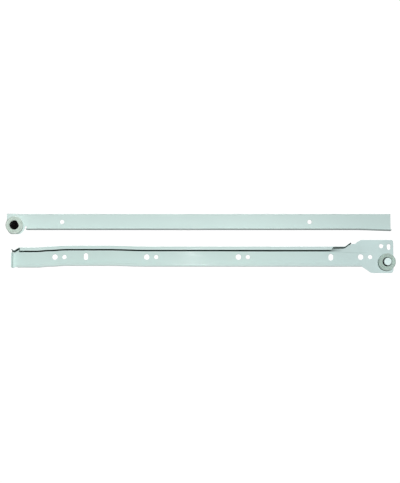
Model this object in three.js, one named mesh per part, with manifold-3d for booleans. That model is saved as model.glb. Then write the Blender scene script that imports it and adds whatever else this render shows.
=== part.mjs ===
// Roller drawer runner, 400 mm, one right-hand side: a cabinet member with a fixed front
// roller and a drawer member with a rear roller, laid out side by side.
//
// Millimetres. +X runs to the front of the cabinet, +Z is up, and the cabinet member's back
// face, which is screwed to the cabinet side, is the plane Y = 0 with the steel at Y < 0.
// The origin is on the line of fixing holes, halfway along the cabinet member.
// The drawer member is shown half a turn about its own length from its working attitude.

import * as THREE from 'three';
import { mergeVertices } from 'three/addons/utils/BufferGeometryUtils.js';
import Module from 'manifold-3d';

const wasm = await Module();
wasm.setup();

// ---------------------------------------------------------------- driving dimensions

const LENGTH = 400;              // nominal length of both members
const SHEET = 1.2;               // coated steel sheet
const BEND = 1.2;                // bend radius at the middle of the sheet
const ARC_STEPS = 3;             // facets in a bend
const ROUND_STEPS = 28;          // facets round a turned piece
const HOLE_STEPS = 16;           // facets round a hole

const cabinet = {
  rear: -LENGTH / 2,
  front: LENGTH / 2 - 0.8,       // the front plate's edge
  halfHeight: 10.4,              // outside of the channel, above and below the hole line
  depth: 11.5,                   // outside of the channel, back face to lip face
  topLip: 3.9,                   // overall height of the lip under the top flange
  bottomLip: 2.4,                // overall height of the lip on the bottom flange
  lipEnd: 133.6,                 // the top lip stops here
  topFlangeEnd: 154.5,
  rampStart: 146.8,              // the top flange climbs between these two stations
  rampRise: 4,
  bottomFlangeEnd: 166,
  lipStart: -191,                // the top lip starts here
  bottomStart: -193.6,           // the bottom flange starts here
  stopHeight: 5,                 // top of the bent-up stop at the rear
  stopDrop: 1.1,                 // how far the stop reaches below the channel
};

// Height of the channel along its length: a hump, then a dip at the rear that the
// drawer's roller drops into as the drawer closes. [x, lift]
const TRACK = [[-200, -0.9], [-174, -0.9], [-160, 0], [-143, 0.9], [-100, 0.9], [-56, 0]];

// The top flange is kinked down at the rear, where it has no lip. [x, lift]
const REAR_KINK = [[-200, -1.3], [-197.5, -2.9], [-191, 0]];

const plate = {
  top: 18,
  bottom: -16.8,
  topRadius: 2.2,
  bottomRadius: 3,
  slopeEnd: [172.5, -14.3],      // end of the straight slope below, then a rounded corner
  lowCorner: 175.2,
  flatStart: 178,
  upperCorners: [[165.5, 18], [161.5, 15.8], [159.4, 13.9]],
};

const screwHoles = {
  stations: [165, 37, -59, -155],   // on the 32 mm system
  wide: 2.9,                        // radius of the larger hole of each pair
  narrow: 2.25,
  step: 9.9,                        // the smaller hole is this much nearer the front
};

const slots = [
  { x: -122.6, z: 0.5, width: 4.4, height: 7.3 },
  { x: 133.8, z: -0.2, width: 5, height: 6.9 },
  { x: 194.4, z: 10.6, width: 3.8, height: 6 },
];
const plateHole = { x: 186.5, z: 11.5, radius: 2.2 };

const drawer = {
  rear: -204.6,
  front: 195.4,
  face: -12.2,                   // the web's front face
  low: 27.2,                     // outer face of the running flange
  high: 44.5,                    // outer face of the seat flange
  runDepth: 11,                  // running flange, from the web's back face
  seatDepth: 12.2,               // seat flange, from the web's front face
  runStart: -183.8,
  seatStart: -194.6,
  noseStart: 155,                // the running flange curves outward from here to the front
  noseReach: 48,
  noseDrop: 1.15,                // how far out it would be after noseReach
  holes: [-147, 111],
  holeRadius: 2.25,
  holeBelowTop: 8.65,
  seatHoles: [-120, 20, 160],    // screws up into the drawer side
  seatHoleRadius: 2,
  seatHoleShare: 0.55,           // how far out across the seat flange they lie
};
const tongue = { x: -195.4, z: 32, radius: 9.9, low: 23.1, notchTop: 31.3 };

const wheel = {
  radius: 9,
  width: 7.2,
  edge: 0.8,                     // chamfer of the rim
  groove: [6, 6.9, 0.5],         // the face's ring-shaped groove: two radii and depth
  bore: 3.3,
  recess: 4.9,                   // radius of the hub's recess, which the bush's flange fills
  recessDepth: 2.4,
  flat: 4.3,                     // a flat in the recess, this far from the axis, keys the bush
};
const frontWheel = { x: 192, z: -5.6, back: -2.4 };
const rearWheel = { x: -196, z: 31.8, back: -14.6, flatAngle: 26 };
const bush = { bore: 2.25, play: 0.2, flatPlay: 0.1, flange: 0.6 };
const axle = {
  shank: 2.15,
  collar: 3.8,                   // shoulder between the roller and the sheet
  head: 3.9,
  headBack: 5.8,                 // from the roller's back
  frontHead: 9.3,                // top of the front axle's head, from the roller's back
  headAside: [0.45, 0.2],        // the front head is upset this far off its shank, X and Z
};
const tail = { radius: 2.8, hole: 3.05 };   // the axle's end in the sheet, and its hole
const TOOL = 3;                  // how far a cutting solid reaches past the sheet

// ---------------------------------------------------------------- materials

const coat = new THREE.Color(0.63, 0.75, 0.72);
const finish = {
  cabinet: { color: coat, roughness: 0.35, metalness: 0 },
  drawer: { color: coat, roughness: 0.35, metalness: 0 },
  nylon: { color: new THREE.Color(0.5, 0.6, 0.55), roughness: 0.5, metalness: 0 },
  bush: { color: new THREE.Color(0.02, 0.02, 0.02), roughness: 0.6, metalness: 0 },
  zinc: { color: new THREE.Color(0.75, 0.8, 0.79), roughness: 0.3, metalness: 1 },
  black: { color: new THREE.Color(0.03, 0.03, 0.03), roughness: 0.4, metalness: 1 },
};

// ---------------------------------------------------------------- solids

function solidOf(geometry) {
  const bare = geometry.clone();
  bare.deleteAttribute('normal');
  bare.deleteAttribute('uv');
  const merged = mergeVertices(bare, 1e-4);
  return new wasm.Manifold(new wasm.Mesh({
    numProp: 3,
    vertProperties: new Float32Array(merged.attributes.position.array),
    triVerts: new Uint32Array(merged.index.array),
  }));
}

function geometryOf(solid) {
  const mesh = solid.getMesh();
  const geometry = new THREE.BufferGeometry();
  geometry.setAttribute('position', new THREE.BufferAttribute(mesh.vertProperties, 3));
  geometry.setIndex(new THREE.BufferAttribute(mesh.triVerts, 1));
  geometry.computeVertexNormals();
  return geometry;
}

function piece(name, geometry, look) {
  const mesh = new THREE.Mesh(geometry, new THREE.MeshStandardMaterial(look));
  mesh.name = name;
  return mesh;
}

function boxSolid(low, high) {
  const size = high.map((value, i) => value - low[i]);
  const box = new THREE.BoxGeometry(...size);
  box.translate(...low.map((value, i) => value + size[i] / 2));
  return solidOf(box);
}

// A cylinder along Y through the sheet between two Y planes.
function pinSolid(x, z, radius, low, high) {
  const pin = new THREE.CylinderGeometry(radius, radius, high - low, HOLE_STEPS);
  pin.translate(x, (low + high) / 2, z);
  return solidOf(pin);
}

// An outline in X and Z, given thickness along Y.
function plateSolid(shape, low, high) {
  const slab = new THREE.ExtrudeGeometry(shape, {
    depth: high - low, bevelEnabled: false, curveSegments: 6,
  });
  slab.rotateX(Math.PI / 2);
  slab.translate(0, high, 0);
  return solidOf(slab);
}

// An upright slot with round ends.
function slotShape({ x, z, width, height }) {
  const radius = width / 2;
  const reach = height / 2 - radius;
  const shape = new THREE.Shape();
  shape.absarc(x, z + reach, radius, 0, Math.PI, false);
  shape.absarc(x, z - reach, radius, Math.PI, 2 * Math.PI, false);
  shape.closePath();
  return shape;
}

// The outline of bent sheet, from the corner points of its middle line.
function sheetSection(corners, thickness, bend) {
  const points = corners.map(([y, z]) => new THREE.Vector2(y, z));
  const along = (i) => points[i + 1].clone().sub(points[i]).normalize();
  const leftOf = (v) => new THREE.Vector2(-v.y, v.x);
  const side = (offset) => {
    const path = [points[0].clone().addScaledVector(leftOf(along(0)), offset)];
    for (let i = 1; i < points.length - 1; i += 1) {
      const into = along(i - 1);
      const out = along(i);
      const turn = Math.atan2(into.cross(out), into.dot(out));
      const hand = Math.sign(turn);
      const setback = bend * Math.tan(Math.abs(turn) / 2);
      const centre = points[i].clone().addScaledVector(into, -setback)
        .addScaledVector(leftOf(into), hand * bend);
      const radius = bend - hand * offset;
      for (let k = 0; k <= ARC_STEPS; k += 1) {
        const spoke = leftOf(into).multiplyScalar(-hand * radius);
        spoke.rotateAround(new THREE.Vector2(), turn * k / ARC_STEPS);
        path.push(centre.clone().add(spoke));
      }
    }
    const last = points.length - 1;
    path.push(points[last].clone().addScaledVector(leftOf(along(last - 1)), offset));
    return path;
  };
  return new THREE.Shape([...side(thickness / 2), ...side(-thickness / 2).reverse()]);
}

// A section in Y and Z swept along X through the given stations, then moved in Z by lift.
function sweptSolid(section, stations, lift) {
  const steps = stations.length - 1;
  const sweep = new THREE.ExtrudeGeometry(section, { depth: steps, steps, bevelEnabled: false });
  const position = sweep.attributes.position;
  for (let i = 0; i < position.count; i += 1) {
    const x = stations[Math.round(position.getZ(i))];
    const y = position.getX(i);
    const z = position.getY(i);
    position.setXYZ(i, x, y, z + lift(x, z));
  }
  return solidOf(sweep);
}

function along(table, x) {
  const last = table.length - 1;
  if (x <= table[0][0]) return table[0][1];
  if (x >= table[last][0]) return table[last][1];
  const i = table.findIndex(([station]) => station > x);
  const [x0, value0] = table[i - 1];
  const [x1, value1] = table[i];
  const share = (1 - Math.cos(Math.PI * (x - x0) / (x1 - x0))) / 2;
  return value0 + (value1 - value0) * share;
}

function stationsBetween(from, to, ...tables) {
  const found = new Set([from, to]);
  for (const table of tables) {
    table.forEach(([x], i) => {
      found.add(x);
      if (i > 0) [1 / 3, 2 / 3].forEach((s) => found.add(x + (table[i - 1][0] - x) * s));
    });
  }
  return [...found].filter((x) => x >= from && x <= to).sort((a, b) => a - b);
}

// ---------------------------------------------------------------- cabinet member

function cabinetProfile() {
  const c = cabinet;
  const middle = c.halfHeight - SHEET / 2;
  const lipPlane = -c.depth + SHEET / 2;
  const section = sheetSection([
    [lipPlane, c.halfHeight - c.topLip],
    [lipPlane, middle],
    [-SHEET / 2, middle],
    [-SHEET / 2, -middle],
    [lipPlane, -middle],
    [lipPlane, -c.halfHeight + c.bottomLip],
  ], SHEET, BEND);
  const ramp = [[c.rampStart, 0], [c.topFlangeEnd, c.rampRise]];
  const lift = (x, z) => {
    const climb = z > 0 ? along(ramp, x) + along(REAR_KINK, x) : 0;
    return along(TRACK, x) + climb;
  };
  const stations = stationsBetween(c.rear + 0.01, c.bottomFlangeEnd, TRACK, REAR_KINK, ramp);
  let body = sweptSolid(section, stations, lift);

  const outside = c.depth + TOOL;
  const inner = -SHEET - 0.01;
  const lipBack = -c.depth + SHEET;
  const high = c.halfHeight + c.rampRise + TOOL;
  const low = -c.halfHeight - TOOL;
  const underKink = 6.9;           // just under the kinked flange, and under the level one
  const underFlange = c.halfHeight - SHEET - 0.1;
  const bottomFlangeTop = -6;
  const cuts = [
    // the top lip, past its two ends
    boxSolid([c.rear - 1, -outside, 0], [c.lipStart, lipBack, underKink]),
    boxSolid([c.lipEnd, -outside, 0], [c.topFlangeEnd + 1, lipBack, underFlange]),
    // the top flange past the climb, and the bottom flange behind its start
    boxSolid([c.topFlangeEnd, -outside, 0], [c.bottomFlangeEnd + 1, inner, high]),
    boxSolid([c.rear - 1, -outside, low], [c.bottomStart, inner, bottomFlangeTop]),
  ];
  cuts.forEach((cut) => { body = body.subtract(cut); });

  const stopLow = -c.halfHeight - c.stopDrop;
  body = body.add(boxSolid([c.rear, -c.depth, stopLow], [c.rear + SHEET, 0, c.stopHeight]));
  body = body.add(plateSolid(frontPlateShape(), -SHEET, 0));

  screwHoles.stations.forEach((x) => {
    body = body.subtract(pinSolid(x, 0, screwHoles.wide, -TOOL, 1));
    body = body.subtract(pinSolid(x + screwHoles.step, 0, screwHoles.narrow, -TOOL, 1));
  });
  slots.forEach((slot) => { body = body.subtract(plateSolid(slotShape(slot), -TOOL, 1)); });
  body = body.subtract(pinSolid(plateHole.x, plateHole.z, plateHole.radius, -TOOL, 1));
  body = body.subtract(pinSolid(frontWheel.x, frontWheel.z, tail.hole, -TOOL, 1));
  return piece('cabinet_profile', geometryOf(body), finish.cabinet);
}

// The flat plate that carries the front roller, as far back as the end of the top lip.
function frontPlateShape() {
  const c = cabinet;
  const back = c.lipEnd;
  const edge = c.halfHeight - 1;
  const shape = new THREE.Shape();
  shape.moveTo(back, -edge);
  shape.lineTo(c.bottomFlangeEnd, -c.halfHeight);
  shape.lineTo(...plate.slopeEnd);
  shape.quadraticCurveTo(plate.lowCorner, plate.bottom, plate.flatStart, plate.bottom);
  shape.lineTo(c.front - plate.bottomRadius, plate.bottom);
  shape.absarc(c.front - plate.bottomRadius, plate.bottom + plate.bottomRadius,
    plate.bottomRadius, -Math.PI / 2, 0, false);
  shape.absarc(c.front - plate.topRadius, plate.top - plate.topRadius,
    plate.topRadius, 0, Math.PI / 2, false);
  plate.upperCorners.forEach((corner) => shape.lineTo(...corner));
  shape.lineTo(c.topFlangeEnd, c.halfHeight + c.rampRise - 0.6);
  shape.lineTo(c.rampStart, edge);
  shape.lineTo(back, edge);
  return shape;
}

// ---------------------------------------------------------------- drawer member

function drawerProfile() {
  const d = drawer;
  const webPlane = d.face + SHEET / 2;
  const backFace = d.face + SHEET;
  const section = sheetSection([
    [backFace - d.runDepth, d.low + SHEET / 2],
    [webPlane, d.low + SHEET / 2],
    [webPlane, d.high - SHEET / 2],
    [d.face + d.seatDepth, d.high - SHEET / 2],
  ], SHEET, BEND);
  const nose = [[d.noseStart, 0], [d.noseStart + d.noseReach, -d.noseDrop]];
  const lift = (x, z) => (z < d.low + BEND + SHEET ? along(nose, x) : 0);
  let body = sweptSolid(section, stationsBetween(d.rear, d.front, nose), lift);

  const outside = 40;
  const cuts = [
    // the seat flange stops short of the rear, and so does the running flange
    boxSolid([d.rear - 1, backFace + 0.01, d.low], [d.seatStart, outside, d.high + 1]),
    boxSolid([d.rear - 1, -outside, d.low - 2], [d.runStart, backFace + 1, tongue.notchTop]),
  ];
  cuts.forEach((cut) => { body = body.subtract(cut); });
  body = body.add(plateSolid(tongueShape(), d.face, backFace));

  const holeHeight = d.high - d.holeBelowTop;
  d.holes.forEach((x) => {
    body = body.subtract(pinSolid(x, holeHeight, d.holeRadius, d.face - 1, backFace + 1));
  });
  const seatMiddle = backFace + (d.face + d.seatDepth - backFace) * d.seatHoleShare;
  d.seatHoles.forEach((x) => {
    const screw = new THREE.CylinderGeometry(d.seatHoleRadius, d.seatHoleRadius, 4, HOLE_STEPS);
    screw.rotateX(Math.PI / 2);
    screw.translate(x, seatMiddle, d.high);
    body = body.subtract(solidOf(screw));
  });
  body = body.subtract(
    pinSolid(rearWheel.x, rearWheel.z, tail.hole, d.face - 1, backFace + 1));
  return piece('drawer_profile', geometryOf(body), finish.drawer);
}

// The web's rounded tongue round the rear axle, up to where the plain web begins.
function tongueShape() {
  const t = tongue;
  const top = t.notchTop + 1;
  const rearAngle = Math.acos((t.x - drawer.rear) / t.radius);
  const floorAngle = Math.asin((t.z - t.low) / t.radius);
  const notchAngle = Math.asin((t.z - t.notchTop) / t.radius);
  const shape = new THREE.Shape();
  shape.moveTo(drawer.rear, top);
  shape.absarc(t.x, t.z, t.radius, Math.PI + rearAngle, Math.PI + floorAngle, false);
  shape.absarc(t.x, t.z, t.radius, 2 * Math.PI - floorAngle, 2 * Math.PI - notchAngle, false);
  shape.lineTo(drawer.runStart + 1, t.notchTop);
  shape.lineTo(drawer.runStart + 1, top);
  return shape;
}

// ---------------------------------------------------------------- rollers and axles

// A turned solid on an axle along Y. Each profile point is [radius, reach], with reach
// measured from the roller's back face towards the front of the runner's face.
function turnedSolid(profile, place) {
  const points = profile.map(([radius, reach]) => new THREE.Vector2(radius, -reach));
  const area = THREE.ShapeUtils.area(points);
  if (area < 0) points.reverse();
  const lathe = new THREE.LatheGeometry([...points, points[0].clone()], ROUND_STEPS);
  lathe.translate(place.x, place.back, place.z);
  return solidOf(lathe);
}

// What lies beyond a flat in the recess, that far from the axis.
function beyondFlat(place, distance) {
  const size = 2 * wheel.recess;
  const box = new THREE.BoxGeometry(size, wheel.width, size);
  box.translate(distance + size / 2, -wheel.width / 2, 0);
  box.rotateY(-place.flatAngle * Math.PI / 180);
  box.translate(place.x, place.back, place.z);
  return solidOf(box);
}

function roller(name, place) {
  const { radius, width, edge, bore, recess, recessDepth, flat } = wheel;
  const [grooveIn, grooveOut, grooveDepth] = wheel.groove;
  const slope = 0.4;
  const floor = width - recessDepth;
  const profile = [
    [bore, 0],
    [radius - edge, 0],
    [radius, edge],
    [radius, width - edge],
    [radius - edge, width],
    [grooveOut + slope, width],
    [grooveOut, width - grooveDepth],
    [grooveIn, width - grooveDepth],
    [grooveIn - slope, width],
    [recess, width],
    [recess, floor],
    [bore, floor],
  ];
  let body = turnedSolid(profile, place);
  if (place.flatAngle) {
    const land = 0.3;
    const plug = turnedSolid([[0, floor - land], [recess + land, floor - land],
      [recess + land, width], [0, width]], place);
    body = body.add(plug.intersect(beyondFlat(place, flat)));
  }
  return piece(name, geometryOf(body), finish.nylon);
}

function bushOf(name, place) {
  const sleeve = wheel.bore - bush.play;
  const flangeBack = wheel.width - wheel.recessDepth + bush.play;
  const flangeFront = flangeBack + bush.flange;
  const rim = wheel.recess - bush.play;
  const profile = [
    [bush.bore, 0],
    [sleeve, 0],
    [sleeve, flangeBack],
    [rim, flangeBack],
    [rim, flangeFront],
    [bush.bore, flangeFront],
  ];
  let body = turnedSolid(profile, place);
  if (place.flatAngle) body = body.subtract(beyondFlat(place, wheel.flat - bush.flatPlay));
  return piece(name, geometryOf(body), finish.bush);
}

// From the axle's centre line at its tail to the underside of its head. The tail fills its
// hole in the sheet, and gap lies between the sheet and the roller's back face.
function axleShaft(gap, tailEnd) {
  return [
    [0, -gap - SHEET - tailEnd],
    [tail.radius, -gap - SHEET - tailEnd],
    [tail.radius, -gap + 0.2],
    [axle.collar, -gap + 0.2],
    [axle.collar, -0.2],
    [axle.shank, -0.2],
    [axle.shank, axle.headBack],
  ];
}

// Solid rivet: a tall head with a nearly flat face, and a tail flush in the sheet's back.
function frontAxle(place) {
  const gap = -SHEET - place.back;
  const overlap = 0.5;
  const shaft = [
    ...axleShaft(gap, -0.05).slice(0, -1),
    [axle.shank, axle.headBack + overlap],
    [0, axle.headBack + overlap],
  ];
  const head = [
    [0, axle.headBack],
    [axle.head, axle.headBack],
    [axle.head, axle.frontHead - 0.4],
    [axle.head - 0.4, axle.frontHead - 0.1],
    [0, axle.frontHead],
  ];
  const [across, up] = axle.headAside;
  const aside = { x: place.x + across, z: place.z + up, back: place.back };
  const body = turnedSolid(shaft, place).add(turnedSolid(head, aside));
  return piece('front_axle', geometryOf(body), finish.zinc);
}

// Tubular rivet: a rolled dished end inside the roller's recess, a longer collar, and a
// low head on the back of the web.
function rearAxle(place) {
  const gap = drawer.face - place.back;
  const back = -gap - SHEET;
  const profile = [
    [0, back - 1],
    [3, back - 1],
    [3.6, back - 0.6],
    [3.6, back - 0.2],
    ...axleShaft(gap, 0.2).slice(1),
    [axle.head, axle.headBack],
    [axle.head, axle.headBack + 0.8],
    [axle.head - 0.4, axle.headBack + 1.1],
    [1.6, axle.headBack + 0.7],
    [1.3, axle.headBack - 2.4],
    [0, axle.headBack - 2.6],
  ];
  return piece('rear_axle', geometryOf(turnedSolid(profile, place)), finish.black);
}

// ---------------------------------------------------------------- the assembly

const cabinetMember = new THREE.Group();
cabinetMember.add(
  cabinetProfile(),
  frontAxle(frontWheel),
  roller('front_roller', frontWheel),
  bushOf('front_bush', frontWheel),
);

const drawerMember = new THREE.Group();
drawerMember.add(
  drawerProfile(),
  rearAxle(rearWheel),
  roller('rear_roller', rearWheel),
  bushOf('rear_bush', rearWheel),
);

const group = new THREE.Group();
group.add(cabinetMember, drawerMember);
export default group;
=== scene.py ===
"""A 400 mm roller drawer runner, one right-hand side, with its two members laid out apart.

The cabinet member lies below, with its fixed roller at the front (+X); the drawer member
lies above, with its roller at the rear. Both profiles are built as their flat blanks are cut
and then folded, so every lip, bend, stop and hole follows the sheet.
"""

import math

import bmesh
import bpy
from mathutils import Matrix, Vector


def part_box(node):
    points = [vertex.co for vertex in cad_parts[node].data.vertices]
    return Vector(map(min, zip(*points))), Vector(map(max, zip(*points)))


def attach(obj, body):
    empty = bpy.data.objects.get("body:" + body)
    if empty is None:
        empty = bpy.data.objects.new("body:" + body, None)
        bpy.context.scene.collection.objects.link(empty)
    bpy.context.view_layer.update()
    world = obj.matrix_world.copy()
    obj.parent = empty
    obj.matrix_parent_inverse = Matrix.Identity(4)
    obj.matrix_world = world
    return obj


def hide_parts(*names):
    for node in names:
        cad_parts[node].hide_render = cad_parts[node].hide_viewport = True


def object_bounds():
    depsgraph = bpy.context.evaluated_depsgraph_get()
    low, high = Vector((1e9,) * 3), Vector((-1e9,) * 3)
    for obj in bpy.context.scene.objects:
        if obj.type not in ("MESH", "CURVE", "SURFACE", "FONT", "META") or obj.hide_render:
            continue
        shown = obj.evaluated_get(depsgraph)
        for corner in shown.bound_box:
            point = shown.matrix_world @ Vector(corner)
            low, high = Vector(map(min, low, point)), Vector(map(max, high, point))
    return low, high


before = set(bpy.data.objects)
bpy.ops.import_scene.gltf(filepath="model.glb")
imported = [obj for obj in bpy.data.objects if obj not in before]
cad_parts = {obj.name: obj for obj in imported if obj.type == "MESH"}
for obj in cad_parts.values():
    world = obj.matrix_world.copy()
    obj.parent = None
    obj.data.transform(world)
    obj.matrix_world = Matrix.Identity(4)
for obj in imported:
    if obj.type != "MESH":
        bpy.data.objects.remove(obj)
cad_low, cad_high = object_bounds()

MM = 0.001


# ---------------------------------------------------------------- measures from the frame

def node_box(name):
    """Lowest and highest corner of a CAD node, as two vectors in millimetres."""
    low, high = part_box(name)
    return Vector(low) / MM, Vector(high) / MM


def axle_of(roller):
    """Where a roller's axle lies, as X and Z, and the Y of the roller's back."""
    low, high = node_box(roller)
    centre = (low + high) / 2
    return (centre.x, centre.z), high.y


FRONT_AXLE, FRONT_BACK = axle_of("front_roller")
REAR_AXLE, REAR_BACK = axle_of("rear_roller")
CABINET_BACK = node_box("cabinet_profile")[1].y


# ---------------------------------------------------------------- camera and room

AIM = Vector((-3.2, CABINET_BACK, 16.4)) * MM
DISTANCE = 1.9
VIEW_HEIGHT = 506.3 * MM         # what the picture's long side takes in at the aim
CAMERA_ELEVATION = math.radians(-5)
SENSOR = 36
NEAREST = 0.05
FURTHEST = 60

FLOOR_DROP = 1.4
FLOOR_REACH = 16
FLOOR_GLOW = 0.3
SURROUND = 1.05                  # the white that the camera sees
FRONT_FILL = 0.01
BACK_FILL = 0.85
FILL_TURN = (-0.1, 0.3)          # from front to back fill, by the direction's Y
LOW_FILL = 1.2                   # the back fill's strength below, as a share of that above
LOW_TURN = (-0.5, 0)             # from low to full fill, by the direction's Z


def make_camera():
    data = bpy.data.cameras.new("camera")
    data.sensor_width = SENSOR
    data.lens = data.sensor_width * DISTANCE / VIEW_HEIGHT
    data.clip_start = NEAREST
    data.clip_end = FURTHEST
    camera = bpy.data.objects.new("camera", data)
    back = Vector((0, -math.cos(CAMERA_ELEVATION), math.sin(CAMERA_ELEVATION)))
    camera.location = AIM + back * DISTANCE
    camera.rotation_mode = "QUATERNION"
    camera.rotation_quaternion = (-back).to_track_quat("-Z", "Y")
    bpy.context.collection.objects.link(camera)
    bpy.context.scene.camera = camera


def area_light(name, place, target, size, power, shine=True):
    """A lamp that the camera doesn't see. Without shine, gloss doesn't mirror it either."""
    data = bpy.data.lights.new(name, "AREA")
    data.shape = "RECTANGLE"
    data.size, data.size_y = size
    data.energy = power
    light = bpy.data.objects.new(name, data)
    light.visible_camera = False
    light.visible_glossy = shine
    light.location = place
    aim = Vector(target) - Vector(place)
    light.rotation_mode = "QUATERNION"
    light.rotation_quaternion = aim.to_track_quat("-Z", "Y")
    bpy.context.collection.objects.link(light)


def make_surround():
    """White to look at. As light it comes from behind the object, as off a pale board that it
    lies against, and only faintly from the viewer's side."""
    world = bpy.data.worlds.new("surround")
    bpy.context.scene.world = world
    world.use_nodes = True
    nodes, links = world.node_tree.nodes, world.node_tree.links
    nodes.clear()
    out = nodes.new("ShaderNodeOutputWorld")
    seen = nodes.new("ShaderNodeBackground")
    seen.inputs["Color"].default_value = (1, 1, 1, 1)
    seen.inputs["Strength"].default_value = SURROUND
    fill = nodes.new("ShaderNodeBackground")
    direction = nodes.new("ShaderNodeTexCoord")
    split = nodes.new("ShaderNodeSeparateXYZ")
    links.new(direction.outputs["Generated"], split.inputs[0])
    depth = spread(nodes, links, split.outputs["Y"], FRONT_FILL, BACK_FILL, FILL_TURN,
                   eased=True)
    height = spread(nodes, links, split.outputs["Z"], LOW_FILL, 1, LOW_TURN, eased=True)
    both = nodes.new("ShaderNodeMath")
    both.operation = "MULTIPLY"
    links.new(depth, both.inputs[0])
    links.new(height, both.inputs[1])
    links.new(both.outputs[0], fill.inputs["Strength"])
    path = nodes.new("ShaderNodeLightPath")
    mix = nodes.new("ShaderNodeMixShader")
    links.new(path.outputs["Is Camera Ray"], mix.inputs["Fac"])
    links.new(fill.outputs[0], mix.inputs[1])
    links.new(seen.outputs[0], mix.inputs[2])
    links.new(mix.outputs[0], out.inputs["Surface"])


def make_floor():
    """A pale floor well below the object. It glows faintly, so that it is pale from every
    side, but it neither lights the object nor shows in its gloss."""
    mesh = bpy.data.meshes.new("floor")
    reach = FLOOR_REACH
    z = cad_low.z - FLOOR_DROP
    corners = [(-reach, -reach, z), (reach, -reach, z), (reach, reach, z), (-reach, reach, z)]
    mesh.from_pydata(corners, [], [(0, 1, 2, 3)])
    floor = bpy.data.objects.new("floor", mesh)
    floor.visible_diffuse = False
    floor.visible_glossy = False
    bpy.context.collection.objects.link(floor)
    paint = bpy.data.materials.new("floor_paint")
    paint.use_nodes = True
    shader = paint.node_tree.nodes["Principled BSDF"]
    shader.inputs["Base Color"].default_value = (0.92, 0.92, 0.92, 1)
    shader.inputs["Roughness"].default_value = 0.8
    shader.inputs["Emission Color"].default_value = (1, 1, 1, 1)
    shader.inputs["Emission Strength"].default_value = FLOOR_GLOW
    mesh.materials.append(paint)


def make_room():
    """The surround, the floor and five lamps: a key far in front, two small ones whose
    reflections show in the webs' gloss, a wide one over the floor behind, and a weak one
    below that lifts the undersides."""
    scene = bpy.context.scene
    scene.view_settings.view_transform = "Standard"
    scene.view_settings.look = "None"
    make_surround()
    make_floor()
    centre = (0, 0, 0.015)
    area_light("key", (0.3, -3.2, 0.17), centre, size=(0.2, 0.06), power=87, shine=False)
    area_light("glint", (-0.02, -1.6, 0.06), centre, size=(0.05, 0.05), power=1.5)
    area_light("lamp", (-0.021, -1.6, 0.132), centre, size=(0.03, 0.003), power=0.012)
    area_light("ceiling", (0, 1.5, 2.6), (0, 1.5, 0), size=(2, 1.6), power=55)
    area_light("board", (0, -0.3, -1.3), centre, size=(0.6, 0.3), power=5, shine=False)


# ---------------------------------------------------------------- materials

PAINTED_SHADE_ATTRIBUTE = "painted_shade"          # mesh attribute, 1 where shade is painted into the coat
# painted shade: the coat's nearly black colour where that attribute is 1
PAINTED_SHADE_COLOUR = (0.02, 0.032, 0.028)
PAINTED_SHADE_DULLNESS = 0.4              # added roughness where shade is painted
COAT_GLOSS = 0.5                 # weight of the clear skin, and specular level, elsewhere
FRONT_SHADE_TURN = (0.05, 0.17)         # X in metres between which the coat is painted darker and greyer, as painted shade towards the runner's front
NOISE_SPAN = (0.3, 0.7)          # what nearly all of a noise lies between


def new_material(name):
    material = bpy.data.materials.new(name)
    material.use_nodes = True
    tree = material.node_tree
    return material, tree.nodes, tree.links, tree.nodes["Principled BSDF"]


def noise(nodes, links, vector, scale, detail=2.0):
    texture = nodes.new("ShaderNodeTexNoise")
    texture.inputs["Scale"].default_value = scale
    texture.inputs["Detail"].default_value = detail
    links.new(vector, texture.inputs["Vector"])
    return texture.outputs["Fac"]


def ramp_between(nodes, links, fac, low, high):
    """A colour that varies between low and high as a noise does."""
    ramp = nodes.new("ShaderNodeValToRGB")
    first, last = ramp.color_ramp.elements
    first.position, last.position = NOISE_SPAN
    first.color = (*low, 1)
    last.color = (*high, 1)
    links.new(fac, ramp.inputs["Fac"])
    return ramp.outputs["Color"]


def spread(nodes, links, fac, low, high, span=NOISE_SPAN, eased=False):
    """A number that goes from low to high as fac crosses the span."""
    node = nodes.new("ShaderNodeMapRange")
    if eased:
        node.interpolation_type = "SMOOTHSTEP"
    first, last = span
    node.inputs["From Min"].default_value = first
    node.inputs["From Max"].default_value = last
    node.inputs["To Min"].default_value = low
    node.inputs["To Max"].default_value = high
    links.new(fac, node.inputs["Value"])
    return node.outputs["Result"]


def mixed(nodes, links, share, first, second):
    """A colour between two others, each either a node's output or a fixed (r, g, b)."""
    node = nodes.new("ShaderNodeMix")
    node.data_type = "RGBA"
    links.new(share, node.inputs[0])
    for socket, colour in ((node.inputs[6], first), (node.inputs[7], second)):
        if isinstance(colour, tuple):
            socket.default_value = (*colour, 1)
        else:
            links.new(colour, socket)
    return node.outputs[2]


def bumped(nodes, links, height, distance, strength):
    bump = nodes.new("ShaderNodeBump")
    bump.inputs["Strength"].default_value = strength
    bump.inputs["Distance"].default_value = distance
    links.new(height, bump.inputs["Height"])
    return bump.outputs["Normal"]


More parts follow.
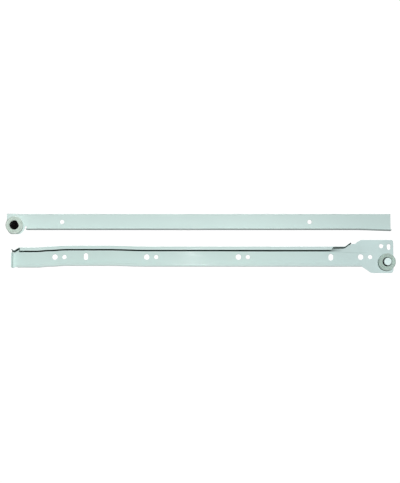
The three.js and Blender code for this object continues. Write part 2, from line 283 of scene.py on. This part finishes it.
def powder_coat(name, pale, deep, front_shade):
    """Glossy baked coat: a fine orange peel, and faintly uneven colour and gloss. It is painted
    darker and greyer towards the runner's front, as painted shade, and painted nearly black and
    dull where shade is painted in, under the top lip and on the drawer's running flange."""
    material, nodes, links, shader = new_material(name)
    at = nodes.new("ShaderNodeTexCoord").outputs["Object"]
    broad = noise(nodes, links, at, scale=14, detail=3)
    even = ramp_between(nodes, links, broad, deep, pale)
    split = nodes.new("ShaderNodeSeparateXYZ")
    links.new(at, split.inputs[0])
    # painted shade: the coat turns darker and greyer towards the runner's front
    front = spread(nodes, links, split.outputs["X"], 0, 1, FRONT_SHADE_TURN)
    even = mixed(nodes, links, front, even, front_shade)
    # painted shade: where the attribute is 1 the coat turns nearly black, dull and loses its
    # clear skin
    attribute = nodes.new("ShaderNodeAttribute")
    attribute.attribute_name = PAINTED_SHADE_ATTRIBUTE
    shade_mask = attribute.outputs["Fac"]
    links.new(mixed(nodes, links, shade_mask, even, PAINTED_SHADE_COLOUR), shader.inputs["Base Color"])
    cloud = noise(nodes, links, at, scale=90)
    dull = nodes.new("ShaderNodeMath")
    dull.operation = "MULTIPLY_ADD"
    dull.inputs[1].default_value = PAINTED_SHADE_DULLNESS
    links.new(shade_mask, dull.inputs[0])
    links.new(spread(nodes, links, cloud, 0.38, 0.48), dull.inputs[2])
    links.new(dull.outputs[0], shader.inputs["Roughness"])
    skin = spread(nodes, links, shade_mask, COAT_GLOSS, 0, (0, 1))
    links.new(skin, shader.inputs["Coat Weight"])
    links.new(skin, shader.inputs["Specular IOR Level"])
    peel = noise(nodes, links, at, scale=500)
    normal = bumped(nodes, links, peel, distance=0.01 * MM, strength=0.5)
    links.new(normal, shader.inputs["Normal"])
    shader.inputs["Coat Roughness"].default_value = 0.05
    shader.inputs["Coat IOR"].default_value = 1.5
    return material


def nylon(name, pale, deep, rough):
    """Moulded nylon: slightly milky, with a satin skin and faint flow marks."""
    material, nodes, links, shader = new_material(name)
    at = nodes.new("ShaderNodeTexCoord").outputs["Object"]
    flow = noise(nodes, links, at, scale=260, detail=3)
    links.new(ramp_between(nodes, links, flow, deep, pale), shader.inputs["Base Color"])
    links.new(spread(nodes, links, flow, rough - 0.06, rough + 0.06), shader.inputs["Roughness"])
    grain = noise(nodes, links, at, scale=1800)
    normal = bumped(nodes, links, grain, distance=0.015 * MM, strength=0.5)
    links.new(normal, shader.inputs["Normal"])
    shader.inputs["Subsurface Weight"].default_value = 0.15
    shader.inputs["Subsurface Radius"].default_value = (0.8, 1, 0.9)
    shader.inputs["Subsurface Scale"].default_value = 0.6 * MM
    return material


def black_plastic(name):
    """Moulded black plastic, with a matt and faintly mottled skin. Its colour is set darker than
    black plastic is, so that it also carries the shade in the rollers' recesses as painted
    shade.
    """
    material, nodes, links, shader = new_material(name)
    at = nodes.new("ShaderNodeTexCoord").outputs["Object"]
    mottle = noise(nodes, links, at, scale=500)
    black = ramp_between(nodes, links, mottle, (0.001, 0.001, 0.001), (0.003, 0.003, 0.003))
    links.new(black, shader.inputs["Base Color"])
    links.new(spread(nodes, links, mottle, 0.45, 0.6), shader.inputs["Roughness"])
    normal = bumped(nodes, links, mottle, distance=0.02 * MM, strength=0.4)
    links.new(normal, shader.inputs["Normal"])
    return material


def metal(name, pale, deep, rough, metallic):
    """Plated or black-oxide rivet: tool marks and a gloss that wears unevenly."""
    material, nodes, links, shader = new_material(name)
    at = nodes.new("ShaderNodeTexCoord").outputs["Object"]
    wear = noise(nodes, links, at, scale=300, detail=4)
    links.new(ramp_between(nodes, links, wear, deep, pale), shader.inputs["Base Color"])
    links.new(spread(nodes, links, wear, rough + 0.08, rough - 0.08), shader.inputs["Roughness"])
    normal = bumped(nodes, links, wear, distance=0.02 * MM, strength=0.4)
    links.new(normal, shader.inputs["Normal"])
    shader.inputs["Metallic"].default_value = metallic
    return material


# ---------------------------------------------------------------- sheet metal, in millimetres

SHEET = 1.2                      # steel with its coat
BEND = 1.2                       # bend radius at the middle of the sheet
QUARTER = BEND * math.pi / 2     # length of sheet that a bend takes up
BEND_MARGIN = 0.15               # flat strip scored beside a bend, to keep its shading clean
EDGE = 0.28                      # rounding that the coat gives a cut edge
BEND_STEPS = 8
HOLE_STEPS = 40
RIM_STEPS = 2
CREASE = math.radians(35)        # edges sharper than this stay sharp
TOUCH = 1e-4                     # points closer than this are one


def arc(x, y, radius, start, stop, steps=8):
    """Points of an arc, angles in degrees."""
    angles = [math.radians(start + (stop - start) * i / steps) for i in range(steps + 1)]
    return [(x + radius * math.cos(a), y + radius * math.sin(a)) for a in angles]


def circle(x, y, radius):
    return arc(x, y, radius, 0, 360, HOLE_STEPS)[:-1]


def slot_outline(x, z, width, height):
    """An upright slot with round ends."""
    radius = width / 2
    reach = height / 2 - radius
    half = HOLE_STEPS // 2
    return arc(x, z + reach, radius, 0, 180, half) + arc(x, z - reach, radius, 180, 360, half)


def blank(outline, holes):
    """A flat sheet with rounded cut edges: local x along the runner, local y across the
    sheet, local z through it. Returned as a bmesh."""
    curve = bpy.data.curves.new("blank", "CURVE")
    curve.dimensions = "2D"
    curve.fill_mode = "BOTH"
    curve.extrude = SHEET / 2 - EDGE
    curve.bevel_depth = EDGE
    curve.bevel_resolution = RIM_STEPS
    curve.offset = -EDGE
    for loop in [outline] + holes:
        spline = curve.splines.new("POLY")
        spline.points.add(len(loop) - 1)
        for point, (x, y) in zip(spline.points, loop):
            point.co = (x, y, 0, 1)
        spline.use_cyclic_u = True
    holder = bpy.data.objects.new("blank", curve)
    mesh = bpy.data.meshes.new_from_object(holder)
    bm = bmesh.new()
    bm.from_mesh(mesh)
    bmesh.ops.remove_doubles(bm, verts=bm.verts, dist=TOUCH)
    bpy.data.objects.remove(holder)
    bpy.data.curves.remove(curve)
    bpy.data.meshes.remove(mesh)
    return bm


ACROSS = Vector((1, 0, 0))
ALONG = Vector((0, 1, 0))


def score(bm, normal, places, only=None):
    """Cuts the flat sheet's faces along lines square to a normal, so that it can fold there.
    With only, a (low, high) span along x, just the faces that lie in it are cut."""
    for place in places:
        faces = bm.faces[:]
        if only:
            low, high = only
            faces = [f for f in faces if all(low <= v.co.x <= high for v in f.verts)]
        edges = {e for f in faces for e in f.edges}
        verts = {v for f in faces for v in f.verts}
        bmesh.ops.bisect_plane(bm, geom=[*verts, *edges, *faces], dist=1e-5,
                               plane_co=normal * place, plane_no=normal)


def spaced(low, high, step):
    """Places from low to high, evenly spaced and about a step apart."""
    count = max(1, round((high - low) / step))
    return [low + (high - low) * i / count for i in range(count + 1)]


def bend_lines(start):
    """Score lines across one bend and just outside it."""
    end = start + QUARTER
    return [start - BEND_MARGIN, *spaced(start, end, QUARTER / BEND_STEPS), end + BEND_MARGIN]


def fold(distance, bends):
    """Where a point lies after folding, that far along the sheet's middle. Bends are the
    places where quarter turns start, in order. Returns the place (along, aside) and the
    direction of the sheet there."""
    along, aside, heading, done = 0.0, 0.0, 0.0, 0.0
    for start in bends:
        straight = min(distance, start) - done
        along += straight * math.cos(heading)
        aside += straight * math.sin(heading)
        if distance <= start:
            return along, aside, heading
        turn = min((distance - start) / BEND, math.pi / 2)
        along += BEND * (math.sin(heading + turn) - math.sin(heading))
        aside -= BEND * (math.cos(heading + turn) - math.cos(heading))
        heading += turn
        done = start + QUARTER
        if distance <= done:
            return along, aside, heading
    rest = distance - done
    return along + rest * math.cos(heading), aside + rest * math.sin(heading), heading


def ease(low, high, value):
    """0 up to low, 1 from high, and a smooth step between."""
    share = min(max((value - low) / (high - low), 0), 1)
    return (1 - math.cos(math.pi * share)) / 2


def blend_table(table, x):
    """A value along the runner, easing between the stations of a table."""
    value = table[0][1]
    for (x0, v0), (x1, v1) in zip(table, table[1:]):
        value += (v1 - v0) * ease(x0, x1, x)
    return value


def finish_piece(bm, name, material, node, body):
    """Scales a piece from millimetres, smooths it and puts it in the scene in a CAD node's
    place."""
    bmesh.ops.scale(bm, vec=(MM, MM, MM), verts=bm.verts)
    bmesh.ops.recalc_face_normals(bm, faces=bm.faces)
    rims = [index for index, edge in enumerate(bm.edges) if not edge.smooth]
    mesh = bpy.data.meshes.new(name)
    bm.to_mesh(mesh)
    bm.free()
    for polygon in mesh.polygons:
        polygon.use_smooth = True
    mesh.set_sharp_from_angle(angle=CREASE)
    for index in rims:
        mesh.edges[index].use_edge_sharp = True
    mesh.materials.append(material)
    piece = bpy.data.objects.new(name, mesh)
    bpy.context.collection.objects.link(piece)
    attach(piece, body)
    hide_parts(node)


def place_all(bm, place, shade_of):
    """Moves every point of a flat blank to its place, and first notes how much shade is painted
    there. The sheet's two faces are parted from the rounded cut edges, so that they keep their
    own shading."""
    face_height = SHEET / 2 - TOUCH
    for edge in bm.edges:
        flat = [all(abs(v.co.z) > face_height for v in f.verts) for f in edge.link_faces]
        edge.smooth = all(flat) or not any(flat)
    layer = bm.verts.layers.float.new(PAINTED_SHADE_ATTRIBUTE)
    for vert in bm.verts:
        vert[layer] = shade_of(*vert.co)
        vert.co = Vector(place(*vert.co))


# ---------------------------------------------------------------- cabinet member

REAR = -200
TRACK = ((REAR, -0.9), (-174, -0.9), (-160, 0), (-143, 0.9), (-100, 0.9), (-56, 0))
WEB_EDGE = 8.6                   # where the web ends and a flange's bend starts
FLANGE = 7.9                     # flat part of a flange
LIP_BEND = WEB_EDGE + QUARTER + FLANGE
FLANGE_END = LIP_BEND + 0.015    # cut edge of a flange where it has no lip
TOP_LIP = LIP_BEND + QUARTER + 2.1
BOTTOM_LIP = LIP_BEND + QUARTER + 0.6
RELIEF = WEB_EDGE - BEND_MARGIN  # cuts at a flange's end reach in to here

LIP_REAR = -191
LIP_SLANT = 133.6                # the top lip's front end slants from here
LIP_FRONT = 136.2                # to here
KINK_LOW = -197.5                # the top flange dips at its rear end
KINK_FOOT = 6                    # and the web's top with it, from this far up
KINK = ((REAR, -1.3), (KINK_LOW, -2.9), (LIP_REAR, 0))
RAMP_REAR = 146.8                # the top flange climbs at its front end
RAMP_FRONT = 154.5
RAMP_RISE = 4
RAMP = ((RAMP_REAR, 0), (RAMP_FRONT, RAMP_RISE))
FLANGE_FRONT = 154.7             # in the cut between the top flange and the plate
BOTTOM_REAR = -193.6             # ends of the bottom flange
BOTTOM_FRONT = 166

STOP_FOLD = -198.2
STOP_END = STOP_FOLD - QUARTER - 9.7
STOP_TOP = 5
STOP_CUT = 0.4                   # width of the cut that parts the stop from the web

PLATE_FRONT = 199.2
PLATE_TOP = 18
PLATE_BOTTOM = -16.8
UPPER_CORNER = 2.2
LOWER_CORNER = 3
JOGGLE = 0.35                    # part of the front stands this much proud of the web
JOGGLE_REAR = (128, 132)         # it comes out between these, along the runner
JOGGLE_FRONT = (172, 180)        # goes back between these
JOGGLE_FOOT = (4.4, 5)           # and comes out between these, upwards

SCREW_HOLES = (165, 37, -59, -155)
SCREW_HOLE = 2.9
SECOND_HOLE = 2.25               # a smaller hole stands in front of each screw hole
SECOND_STEP = 9.9
TAIL_HOLE = 3.05


def flange_rise(x):
    return blend_table(RAMP, x)


def cabinet_outline():
    """The blank's outline, from the rear stop round by the bottom, front and top."""
    rear = [(STOP_END, -10.6), (-197.5, -10.6), (-197, -9.7), (-193.9, -9.7),
            (-193.9, -RELIEF), (BOTTOM_REAR, -RELIEF), (BOTTOM_REAR, -19.9),
            (-192.6, -BOTTOM_LIP)]
    bottom = [(165.2, -BOTTOM_LIP), (BOTTOM_FRONT, -20), (BOTTOM_FRONT, -RELIEF),
              (166.3, -RELIEF), (166.3, -10.2)]
    corner = [(172.5, -14.3), (173.7, -15.3), (175.2, -16.2), (176.6, -16.65),
              (178, PLATE_BOTTOM)]
    front = arc(PLATE_FRONT - LOWER_CORNER, PLATE_BOTTOM + LOWER_CORNER, LOWER_CORNER, -90, 0)
    front += arc(PLATE_FRONT - UPPER_CORNER, PLATE_TOP - UPPER_CORNER, UPPER_CORNER, 0, 90)
    top = [(165.5, PLATE_TOP), (161.5, 15.8), (159.4, 13.9), (154.9, 13.7),
           (154.9, RELIEF + RAMP_RISE), (RAMP_FRONT, RELIEF + RAMP_RISE)]
    ramp = [(x, FLANGE_END + flange_rise(x)) for x in reversed(ramp_places())]
    lip = [(LIP_FRONT, FLANGE_END), (LIP_SLANT, TOP_LIP), (LIP_REAR, TOP_LIP),
           (LIP_REAR, FLANGE_END), (REAR, FLANGE_END)]
    cut = STOP_TOP + STOP_CUT
    stop = [(REAR, cut), (REAR + 2, cut), (REAR + 2, STOP_TOP), (STOP_END, STOP_TOP)]
    return rear + bottom + corner + front + top + ramp + lip + stop


def ramp_places():
    return spaced(RAMP_REAR, RAMP_FRONT, 0.77)


def cabinet_holes():
    holes = []
    for x in SCREW_HOLES:
        second = x + SECOND_STEP
        holes.append(circle(x, -blend_table(TRACK, x), SCREW_HOLE))
        holes.append(circle(second, -blend_table(TRACK, second), SECOND_HOLE))
    rear_x = -122.6
    rear_s = 0.5 - blend_table(TRACK, rear_x)
    holes.append(slot_outline(rear_x, rear_s, width=4.4, height=7.3))
    holes.append(slot_outline(133.8, -0.2, width=5, height=6.9))
    holes.append(slot_outline(194.4, 10.6, width=3.8, height=6))
    holes.append(circle(186.5, 11.5, radius=2.2))
    holes.append(circle(*FRONT_AXLE, TAIL_HOLE))
    return holes


def cabinet_place(x, s, t):
    """Where a point of the cabinet member's blank goes. s runs up from the web's middle,
    t out of the sheet towards the channel's mouth."""
    lift = blend_table(TRACK, x)
    proud = JOGGLE * ease(*JOGGLE_FOOT, s) * (ease(*JOGGLE_REAR, x) - ease(*JOGGLE_FRONT, x))
    face = CABINET_BACK - SHEET / 2 - proud
    if x < STOP_FOLD and s < STOP_TOP + STOP_CUT / 2:
        along, aside, heading = fold(STOP_FOLD - x, [0])
        return (STOP_FOLD - along + t * math.sin(heading),
                face - aside - t * math.cos(heading), s + lift)
    if s > 0 and x < FLANGE_FRONT:
        rise = flange_rise(x)
        bends = [WEB_EDGE, LIP_BEND] if x < LIP_FRONT else [WEB_EDGE]
        along, aside, heading = fold(s - rise, bends)
        droop = blend_table(KINK, x) * ease(KINK_FOOT, WEB_EDGE, s)
        z = along - t * math.sin(heading) + rise + lift + droop
        return x, face - aside - t * math.cos(heading), z
    if s < 0 and BOTTOM_REAR - 0.1 < x < BOTTOM_FRONT + 0.2:
        along, aside, heading = fold(-s, [WEB_EDGE, LIP_BEND])
        z = t * math.sin(heading) - along + lift
        return x, face - aside - t * math.cos(heading), z
    return x, face - t, s + lift


def cabinet_painted_shade(x, s, t):
    """Painted shade inside the top flange and on the lip's cut edge, where the lip shades them:
    behind the lip it stops on the web, and past the lip's two ends at the bend."""
    cut_edge = TOP_LIP - 0.22
    if x > FLANGE_FRONT or s < cut_edge and t < 0:
        return 0
    start = 5.85 - 0.3 * ease(0, 80, x)
    strength = 1 - 0.25 * ease(20, 100, x)
    behind_lip = strength * ease(start, start + 0.3, s)
    in_bend = ease(WEB_EDGE + 0.1, WEB_EDGE + 0.8, s - flange_rise(x))
    clear = max(ease(LIP_SLANT, LIP_FRONT, x), ease(LIP_REAR + 1, LIP_REAR - 0.5, x))
    return behind_lip * (1 - clear) + in_bend * clear


def cabinet_member():
    """The folded profile. It is scored wherever it curves: along the kink, the track, the
    joggle, the ramp and the stop's fold, and lengthwise at the bends, at the joggle's foot,
    where the painted shade starts, and over all that the top bend crosses on the ramp."""
    bm = blank(cabinet_outline(), cabinet_holes())
    kink = spaced(KINK_LOW, LIP_REAR, 1.08)
    track = spaced(-188, -56, 3) + spaced(-46, 124, 17)
    plate = spaced(*JOGGLE_REAR, 0.8) + spaced(*JOGGLE_FRONT, 1.6) + spaced(160, 196, 6)
    stop = spaced(STOP_FOLD - QUARTER, STOP_FOLD, QUARTER / BEND_STEPS)
    score(bm, ACROSS, sorted({*kink, *track, *plate, *ramp_places(), *stop}))
    for bend in (WEB_EDGE, LIP_BEND):
        score(bm, ALONG, bend_lines(bend))
        score(bm, ALONG, [-place for place in bend_lines(bend)])
    score(bm, ALONG, [*spaced(*JOGGLE_FOOT, 0.3), *spaced(5.4, 6.3, 0.15), 7.3])
    score(bm, ALONG, spaced(8.5, 14.6, 0.24), only=(RAMP_REAR - 0.1, RAMP_FRONT + 0.1))
    place_all(bm, cabinet_place, cabinet_painted_shade)
    return bm


# ---------------------------------------------------------------- drawer member

DRAWER_MIDDLE = -11.6            # Y of the web's middle
DRAWER_HEIGHT = 35.85            # Z of the web's middle
DRAWER_REAR = -204.6
DRAWER_FRONT = 195.4
DRAWER_EDGE = 6.85               # where the web ends and a flange's bend starts
SEAT_END = DRAWER_EDGE + QUARTER + 10.4      # the flange that the drawer side rests on
SEAT_MIDDLE = SEAT_END - 4.95
SEAT_RELIEF = DRAWER_EDGE - BEND_MARGIN
SEAT_REAR = -194.75              # in the cut between this flange and the rear end
RUN_END = DRAWER_EDGE + QUARTER + 9.2        # the flange that runs over the front roller
RUN_REAR = -184.5                # in the gap between this flange and the tongue
NOSE_REAR = 155                  # the running flange's front end curves outward from here
NOSE_REACH = 48
NOSE_DROP = 1.15
NOSE_FOOT = 4
TONGUE = (-195.4, -3.85)
TONGUE_RADIUS = 9.9
TONGUE_FLOOR = -12.75
NOTCH = -4.55
WEB_HOLES = (-147, 111)
WEB_HOLE = 2.25
SEAT_HOLES = (-120, 20, 160)
SEAT_HOLE = 2


def tongue_arc(start, stop):
    return arc(*TONGUE, TONGUE_RADIUS, start, stop, 14)


def drawer_outline():
    """The blank's outline, from the top of the rear end round the tongue and the front."""
    x, s = TONGUE
    first = 360 - math.degrees(math.acos((DRAWER_REAR - x) / TONGUE_RADIUS))
    low = math.degrees(math.asin((TONGUE_FLOOR - s) / TONGUE_RADIUS))
    out = math.degrees(math.asin((NOTCH - s) / TONGUE_RADIUS))
    tongue = tongue_arc(first, 180 - low) + tongue_arc(360 + low, 360 + out)
    run = [(-183.8, NOTCH), (-183.8, 1 - RUN_END), (-182.8, -RUN_END),
           (DRAWER_FRONT - 0.5, -RUN_END), (DRAWER_FRONT, 0.5 - RUN_END)]
    seat = [(DRAWER_FRONT, SEAT_END - 0.5), (DRAWER_FRONT - 0.5, SEAT_END),
            (-193.6, SEAT_END), (-194.6, SEAT_END - 1), (-194.6, SEAT_RELIEF),
            (-194.9, SEAT_RELIEF), (-194.9, 8.65)]
    return [(DRAWER_REAR, 8.65)] + tongue + run + seat


def drawer_place(x, s, t):
    """Where a point of the drawer member's blank goes. t runs out of the sheet towards the
    roller's side."""
    if s > 0 and x > SEAT_REAR:
        along, aside, heading = fold(s, [DRAWER_EDGE])
        return (x, DRAWER_MIDDLE + aside - t * math.cos(heading),
                DRAWER_HEIGHT + along + t * math.sin(heading))
    if s < 0 and x > RUN_REAR:
        along, aside, heading = fold(-s, [DRAWER_EDGE])
        nose = ease(NOSE_REAR, NOSE_REAR + NOSE_REACH, x)
        drop = NOSE_DROP * nose * ease(NOSE_FOOT, DRAWER_EDGE, -s)
        return (x, DRAWER_MIDDLE - aside - t * math.cos(heading),
                DRAWER_HEIGHT - along + t * math.sin(heading) - drop)
    return x, DRAWER_MIDDLE - t, DRAWER_HEIGHT + s


def drawer_painted_shade(x, s, t):
    """Painted shade on the outside of the running flange, which faces the cabinet member below.
    """
    if t > 0 or x < RUN_REAR:
        return 0
    return 0.6 * ease(DRAWER_EDGE + 0.75, DRAWER_EDGE + 1.95, -s)


def drawer_member():
    """The folded profile, scored along its nose and at its bends."""
    axle_x, axle_z = REAR_AXLE
    holes = [circle(x, 0, WEB_HOLE) for x in WEB_HOLES]
    holes += [circle(x, SEAT_MIDDLE, SEAT_HOLE) for x in SEAT_HOLES]
    holes.append(circle(axle_x, axle_z - DRAWER_HEIGHT, TAIL_HOLE))
    bm = blank(drawer_outline(), holes)
    score(bm, ACROSS, spaced(-180, 141, 14) + spaced(NOSE_REAR, 193, 3.8))
    score(bm, ALONG, bend_lines(DRAWER_EDGE))
    score(bm, ALONG, [-place for place in bend_lines(DRAWER_EDGE)])
    score(bm, ALONG, [-5, -5.8])
    place_all(bm, drawer_place, drawer_painted_shade)
    return bm


# ---------------------------------------------------------------- turned pieces

ROUND_STEPS = 120
CORNER_STEPS = 4

RADIUS = 9                       # the roller
WIDTH = 7.2
CHAMFER = 0.8
GROOVE = 0.5
BORE = 3.3
RECESS = 4.9
RECESS_DEPTH = 2.4
GLINT_FLAT = 4.3                       # a flat in the rear roller's recess, this far from the axle; the pale nylon that it leaves in the black is a painted highlight
BUSH_GLINT_FLAT = 4.2
GLINT_FLAT_DIRECTION = 26              # degrees up from +X
PLAY = 0.2                       # between the bush and the roller, and beside a collar
BUSH_BORE = 2.25
BUSH_FLANGE = 0.6
SHANK = 2.15
TAIL = 2.8
COLLAR = 3.8                     # keeps the roller off the sheet
HEAD = 3.9
HEAD_BACK = 5.8                  # from the roller's back
FRONT_HEAD = 9.3
FRONT_SHAFT = 7                  # rings of the front axle below its head
HEAD_ASIDE = (0.45, 0.2)         # the head is upset this far off its shank, which bares a crescent of black bush at its lower left as painted shadow


def softened(profile, radius):
    """A profile with each corner that isn't on the axle's line rounded off."""
    out = []
    count = len(profile)
    for i, (r, y) in enumerate(profile):
        here = Vector((r, y))
        before = Vector(profile[i - 1]) - here
        after = Vector(profile[(i + 1) % count]) - here
        cut = min(radius, before.length * 0.45, after.length * 0.45)
        if r < TOUCH:
            out.append((r, y))
            continue
        start, end = here + before.normalized() * cut, here + after.normalized() * cut
        for k in range(CORNER_STEPS + 1):
            f = k / CORNER_STEPS
            point = start * (1 - f) ** 2 + here * 2 * f * (1 - f) + end * f ** 2
            out.append((point.x, point.y))
    return out


def keyed(radius, angle, flat):
    """A radius in the recess, or of what fills it, cut short where the flat stands."""
    distance, direction, outer = flat
    facing = math.cos(angle - math.radians(direction))
    if radius > outer or facing * outer <= distance:
        return radius
    return min(radius, distance / facing + max(0, radius - RECESS))


def turned(profile, axle, back, flat=None, aside=None):
    """Spins a closed profile of (radius, reach) about an axle along Y; reach runs from the
    piece's back towards the viewer. A flat is given as its distance from the axle, its
    direction in degrees from +X, and the largest radius that it cuts. Aside is given as the
    ring from which the rest stands off the axle, and by how much in X and in Z."""
    bm = bmesh.new()
    rings = []
    for index, (radius, reach) in enumerate(profile):
        centre_x, centre_z = axle
        if aside and index >= aside[0]:
            centre_x += aside[1]
            centre_z += aside[2]
        if radius < TOUCH:
            rings.append([bm.verts.new((centre_x, back - reach, centre_z))])
            continue
        ring = []
        for i in range(ROUND_STEPS):
            angle = 2 * math.pi * i / ROUND_STEPS
            spoke = keyed(radius, angle, flat) if flat else radius
            ring.append(bm.verts.new((centre_x + spoke * math.cos(angle), back - reach,
                                      centre_z + spoke * math.sin(angle))))
        rings.append(ring)
    for a, b in zip(rings, rings[1:] + rings[:1]):
        for i in range(ROUND_STEPS):
            j = (i + 1) % ROUND_STEPS
            if len(a) > 1 and len(b) > 1:
                bm.faces.new((a[i], a[j], b[j], b[i]))
            elif len(a) > 1:
                bm.faces.new((a[i], a[j], b[0]))
            elif len(b) > 1:
                bm.faces.new((a[0], b[j], b[i]))
    return bm


def roller_profile():
    floor = WIDTH - GROOVE
    seat = WIDTH - RECESS_DEPTH
    corners = [(BORE, 0), (RADIUS - CHAMFER, 0), (RADIUS, CHAMFER), (RADIUS, WIDTH - CHAMFER),
               (RADIUS - CHAMFER, WIDTH), (RADIUS - 1.7, WIDTH), (RADIUS - 2.1, floor),
               (RECESS + 1.1, floor), (RECESS + 0.7, WIDTH), (RECESS, WIDTH), (RECESS, seat),
               (BORE, seat)]
    return softened(corners, 0.35)


def bush_profile():
    sleeve = BORE - PLAY
    rim = RECESS - PLAY
    back = WIDTH - RECESS_DEPTH + PLAY
    corners = [(BUSH_BORE, 0), (sleeve, 0), (sleeve, back), (rim, back),
               (rim, back + BUSH_FLANGE), (BUSH_BORE, back + BUSH_FLANGE)]
    return softened(corners, 0.12)


def front_axle_profile(sheet):
    """A solid rivet, from its flush tail to its domed head. sheet is how far the sheet's
    front lies behind the roller's back."""
    end = 0.05 - sheet - SHEET
    tail = [(0, end), (TAIL, end), (TAIL, PLAY - sheet), (COLLAR, PLAY - sheet),
            (COLLAR, -PLAY), (SHANK, -PLAY), (SHANK, HEAD_BACK), (HEAD - 0.15, HEAD_BACK),
            (HEAD, HEAD_BACK + 0.15)]
    dome = [(HEAD, 0.45), (3.83, 0.3), (3.6, 0.14), (3.2, 0.06), (2, 0.02), (0, 0)]
    return tail + [(radius, FRONT_HEAD - below) for radius, below in dome]


def rear_axle_profile(sheet):
    """A tubular rivet with an upset tail and a rolled, hollow head."""
    back = -sheet - SHEET
    tail = [(0, back - 1), (3, back - 1), (3.6, back - 0.6), (3.6, back - PLAY),
            (TAIL, back - PLAY), (TAIL, PLAY - sheet), (COLLAR, PLAY - sheet),
            (COLLAR, -PLAY), (SHANK, -PLAY)]
    head = [(SHANK, 0), (3.7, 0), (HEAD, 0.3), (3.7, 0.9), (3.2, 1.1), (1.6, 0.7),
            (1.3, -2.4), (0, -2.6)]
    return softened(tail + [(radius, HEAD_BACK + reach) for radius, reach in head], 0.15)


# ---------------------------------------------------------------- assembly

make_camera()
make_room()

# each coat's third colour is the painted shade that it turns to towards the front
cabinet_coat = powder_coat("cabinet_coat", (0.65, 0.80, 0.77), (0.62, 0.775, 0.74),
                           (0.57, 0.70, 0.69))
drawer_coat = powder_coat("drawer_coat", (0.675, 0.82, 0.79), (0.645, 0.79, 0.76),
                          (0.57, 0.70, 0.68))
# The two rollers are one nylon: the front roller's colour is painted darker, as painted shade,
# and the rear roller's lighter, as painted light.
front_nylon_shaded = nylon("front_nylon_shaded", (0.45, 0.565, 0.51), (0.41, 0.525, 0.475), 0.42)
rear_nylon_lit = nylon("rear_nylon_lit", (0.62, 0.73, 0.66), (0.58, 0.70, 0.62), 0.4)
# black bushes, whose colour is partly painted shade in the rollers' recesses
bush_black_and_shade = black_plastic("bush_black_and_shade")
# pale plated rivet, painted near white with little metal to it: a painted reflection of the
# light that plating would mirror
zinc_and_sheen = metal("zinc_and_sheen", (0.84, 1, 0.98), (0.78, 0.96, 0.94), 0.42, 0.1)
# black-oxide rear rivet, set darker than black oxide is, as painted shade in the rear roller's
# recess
blackened_and_shade = metal("blackened_and_shade", (0.004, 0.005, 0.005), (0.002, 0.002, 0.002), 0.5, 0.1)

finish_piece(cabinet_member(), "cabinet_profile_sheet", cabinet_coat,
             "cabinet_profile", "cabinet_member")
finish_piece(drawer_member(), "drawer_profile_sheet", drawer_coat,
             "drawer_profile", "drawer_member")

finish_piece(turned(roller_profile(), FRONT_AXLE, FRONT_BACK), "front_roller_turned",
             front_nylon_shaded, "front_roller", "front_wheel")
finish_piece(turned(bush_profile(), FRONT_AXLE, FRONT_BACK), "front_bush_turned",
             bush_black_and_shade, "front_bush", "front_wheel")
front_sheet = CABINET_BACK - SHEET - FRONT_BACK
front_rivet = turned(front_axle_profile(front_sheet), FRONT_AXLE, FRONT_BACK,
                     aside=(FRONT_SHAFT, *HEAD_ASIDE))
finish_piece(front_rivet, "front_axle_turned", zinc_and_sheen, "front_axle",
             "cabinet_member")

# the flat leaves pale nylon in the black recess: a painted highlight
rear_roller = turned(roller_profile(), REAR_AXLE, REAR_BACK,
                     flat=(GLINT_FLAT, GLINT_FLAT_DIRECTION, RECESS + 0.4))
finish_piece(rear_roller, "rear_roller_turned", rear_nylon_lit, "rear_roller",
             "rear_wheel")
rear_bush = turned(bush_profile(), REAR_AXLE, REAR_BACK,
                   flat=(BUSH_GLINT_FLAT, GLINT_FLAT_DIRECTION, RECESS))
finish_piece(rear_bush, "rear_bush_turned", bush_black_and_shade, "rear_bush",
             "rear_wheel")
rear_sheet = DRAWER_MIDDLE - SHEET / 2 - REAR_BACK
finish_piece(turned(rear_axle_profile(rear_sheet), REAR_AXLE, REAR_BACK),
             "rear_axle_turned", blackened_and_shade, "rear_axle", "drawer_member")
